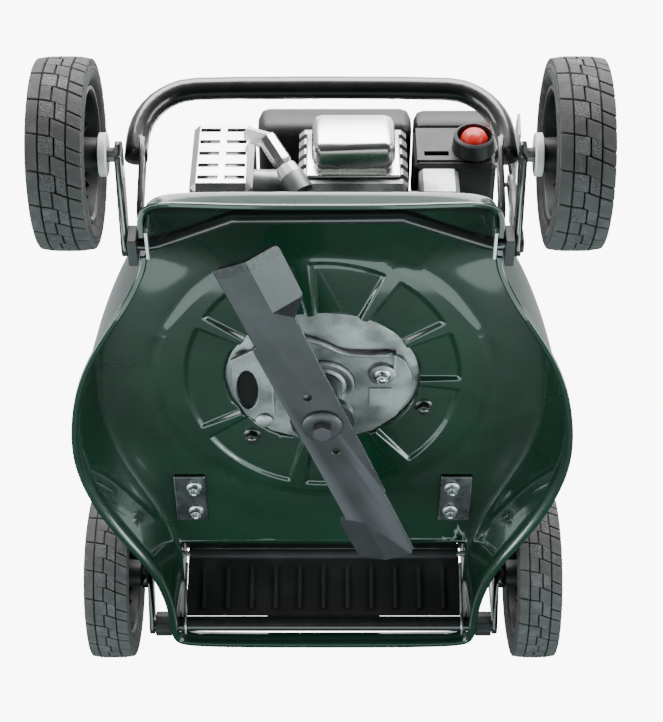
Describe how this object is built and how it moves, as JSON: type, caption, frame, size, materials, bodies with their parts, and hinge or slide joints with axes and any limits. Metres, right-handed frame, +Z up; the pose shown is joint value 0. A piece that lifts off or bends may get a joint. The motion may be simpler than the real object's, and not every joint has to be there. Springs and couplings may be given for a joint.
{
  "type": "petrol lawn mower",
  "caption": "Walk-behind petrol lawn mower with a pressed steel deck, folding handle, cutting blade, height-adjustable axles, ribbed rear door and front bumper.",
  "frame": {"origin": "middle of the mower's bounding box on the ground, wheels standing at z = 0", "axes": "-Y towards the mower's nose, +Y towards the handle's end, +X to the mower's left, +Z up"},
  "size_m": [0.4952, 1.4206, 0.9099],
  "materials": {
    "deck_green": "gloss",
    "black_paint": "satin",
    "black_plastic": "matte",
    "grey_plate": "satin",
    "zinc": "zinc plated",
    "cast_aluminium": "as cast",
    "bright_steel": "bright",
    "blade_paint": "satin",
    "rubber": "matte",
    "nylon": "satin",
    "white_ceramic": "gloss",
    "red_rubber": "satin"
  },
  "bodies": {
    "chassis": {"air_filter_base": "black_plastic", "air_filter_cover": "black_plastic", "axle_clip_left": "zinc", "axle_clip_right": "zinc", "bearing_plate_left": "zinc", "bearing_plate_right": "zinc", "carburettor": "cast_aluminium", "cylinder_head": "cast_aluminium", "deck": "deck_green", "door_rod": "zinc", "engine_block": "cast_aluminium", "fan_shroud": "black_plastic", "front_bearing_left": "black_plastic", "front_bearing_right": "black_plastic", "front_bumper": "black_paint", "fuel_tank": "black_plastic", "handle_bracket_left": "black_paint", "handle_bracket_right": "black_paint", "handle_strap_left": "zinc", "handle_strap_right": "zinc", "height_quadrant": "grey_plate", "lower_handle": "black_paint", "muffler": "cast_aluminium", "muffler_guard": "bright_steel", "primer_housing": "black_plastic", "rear_bearing_left": "black_plastic", "rear_bearing_right": "black_plastic", "recoil_cover": "black_plastic", "rocker_cover": "bright_steel", "spark_plug": "white_ceramic", "spark_plug_cap": "bright_steel"},
    "front_axle_set": {"front_axle": "black_paint", "height_lever": "black_plastic", "front_collar_left": "nylon", "front_collar_right": "nylon"},
    "rear_axle_set": {"rear_axle": "black_paint"},
    "link": {"link_rod": "zinc"},
    "front_wheel_left": {"front_hub_left": "black_plastic", "front_tyre_left": "rubber"},
    "front_wheel_right": {"front_hub_right": "black_plastic", "front_tyre_right": "rubber"},
    "rear_wheel_left": {"rear_hub_left": "black_plastic", "rear_tyre_left": "rubber"},
    "rear_wheel_right": {"rear_hub_right": "black_plastic", "rear_tyre_right": "rubber"},
    "door": {"rear_door": "black_plastic"},
    "blade_drive": {"crankshaft": "bright_steel", "flywheel": "cast_aluminium", "blade_holder": "black_paint", "blade": "blade_paint", "blade_washer": "blade_paint", "blade_bolt": "blade_paint"},
    "tank_cap": {"fuel_cap": "black_plastic"},
    "oil_dipstick": {"dipstick": "red_rubber"},
    "primer": {"primer_bulb": "red_rubber"},
    "handle_top": {"upper_handle": "black_paint"},
    "knob_left": {"handle_knob_left": "black_plastic"},
    "knob_right": {"handle_knob_right": "black_plastic"},
    "bail": {"operator_bail": "black_paint"}
  },
  "joints": [
    {"name": "height_adjust", "type": "hinge", "parent": "chassis", "child": "front_axle_set", "pos_m": [0, -0.55288, 0.06], "axis": [1, 0, 0], "range_deg": [-20, 15]},
    {"name": "rear_axle_turn", "type": "hinge", "parent": "chassis", "child": "rear_axle_set", "pos_m": [0, -0.01888, 0.062], "axis": [1, 0, 0], "range_deg": [-29, 21.8]},
    {"name": "link_turn", "type": "hinge", "parent": "front_axle_set", "child": "link", "pos_m": [0.16, -0.55288, 0.138], "axis": [1, 0, 0], "range_deg": [-15.1, 20.1]},
    {"name": "front_wheel_left_turn", "type": "hinge", "parent": "front_axle_set", "child": "front_wheel_left", "pos_m": [0.2035, -0.63188, 0.0775], "axis": [1, 0, 0], "continuous": true},
    {"name": "front_wheel_right_turn", "type": "hinge", "parent": "front_axle_set", "child": "front_wheel_right", "pos_m": [-0.2035, -0.63188, 0.0775], "axis": [1, 0, 0], "continuous": true},
    {"name": "rear_wheel_left_turn", "type": "hinge", "parent": "rear_axle_set", "child": "rear_wheel_left", "pos_m": [0.2175, -0.07288, 0.0875], "axis": [1, 0, 0], "continuous": true},
    {"name": "rear_wheel_right_turn", "type": "hinge", "parent": "rear_axle_set", "child": "rear_wheel_right", "pos_m": [-0.2175, -0.07288, 0.0875], "axis": [1, 0, 0], "continuous": true},
    {"name": "blade_spin", "type": "hinge", "parent": "chassis", "child": "blade_drive", "pos_m": [0, -0.33988, 0.0535], "axis": [0, 0, 1], "continuous": true},
    {"name": "door_swing", "type": "hinge", "parent": "chassis", "child": "door", "pos_m": [0, -0.04288, 0.137], "axis": [1, 0, 0], "range_deg": [0, 95], "stiffness_Nm_per_rad": 0.05, "springref_deg": -17.19},
    {"name": "fuel_cap_turn", "type": "hinge", "parent": "chassis", "child": "tank_cap", "pos_m": [-0.06, -0.18988, 0.3043], "axis": [0, 0, 1], "range_deg": [0, 270]},
    {"name": "dipstick_pull", "type": "slide", "parent": "chassis", "child": "oil_dipstick", "axis": [0.0217, 0.0109, 0.9997], "range_m": [0, 0.05]},
    {"name": "primer_press", "type": "slide", "parent": "chassis", "child": "primer", "axis": [0, 1, 0], "range_m": [0, 0.0055], "stiffness_N_per_m": 600},
    {"name": "handle_fold", "type": "hinge", "parent": "chassis", "child": "handle_top", "pos_m": [0, 0.15949, 0.40977], "axis": [1, 0, 0], "range_deg": [0, 140]},
    {"name": "knob_left_turn", "type": "hinge", "parent": "handle_top", "child": "knob_left", "pos_m": [0.2203, 0.15949, 0.40977], "axis": [1, 0, 0], "continuous": true},
    {"name": "knob_right_turn", "type": "hinge", "parent": "handle_top", "child": "knob_right", "pos_m": [-0.2203, 0.15949, 0.40977], "axis": [-1, 0, 0], "continuous": true},
    {"name": "bail_squeeze", "type": "hinge", "parent": "handle_top", "child": "bail", "pos_m": [0, 0.61193, 0.79619], "axis": [-1, 0, 0], "range_deg": [0, 24], "stiffness_Nm_per_rad": 4, "springref_deg": -17.19}
  ],
  "couplings": [
    {"joint": "rear_axle_turn", "follows": "height_adjust", "ratio": 1.4444},
    {"joint": "link_turn", "follows": "height_adjust", "ratio": -1}
  ]
}
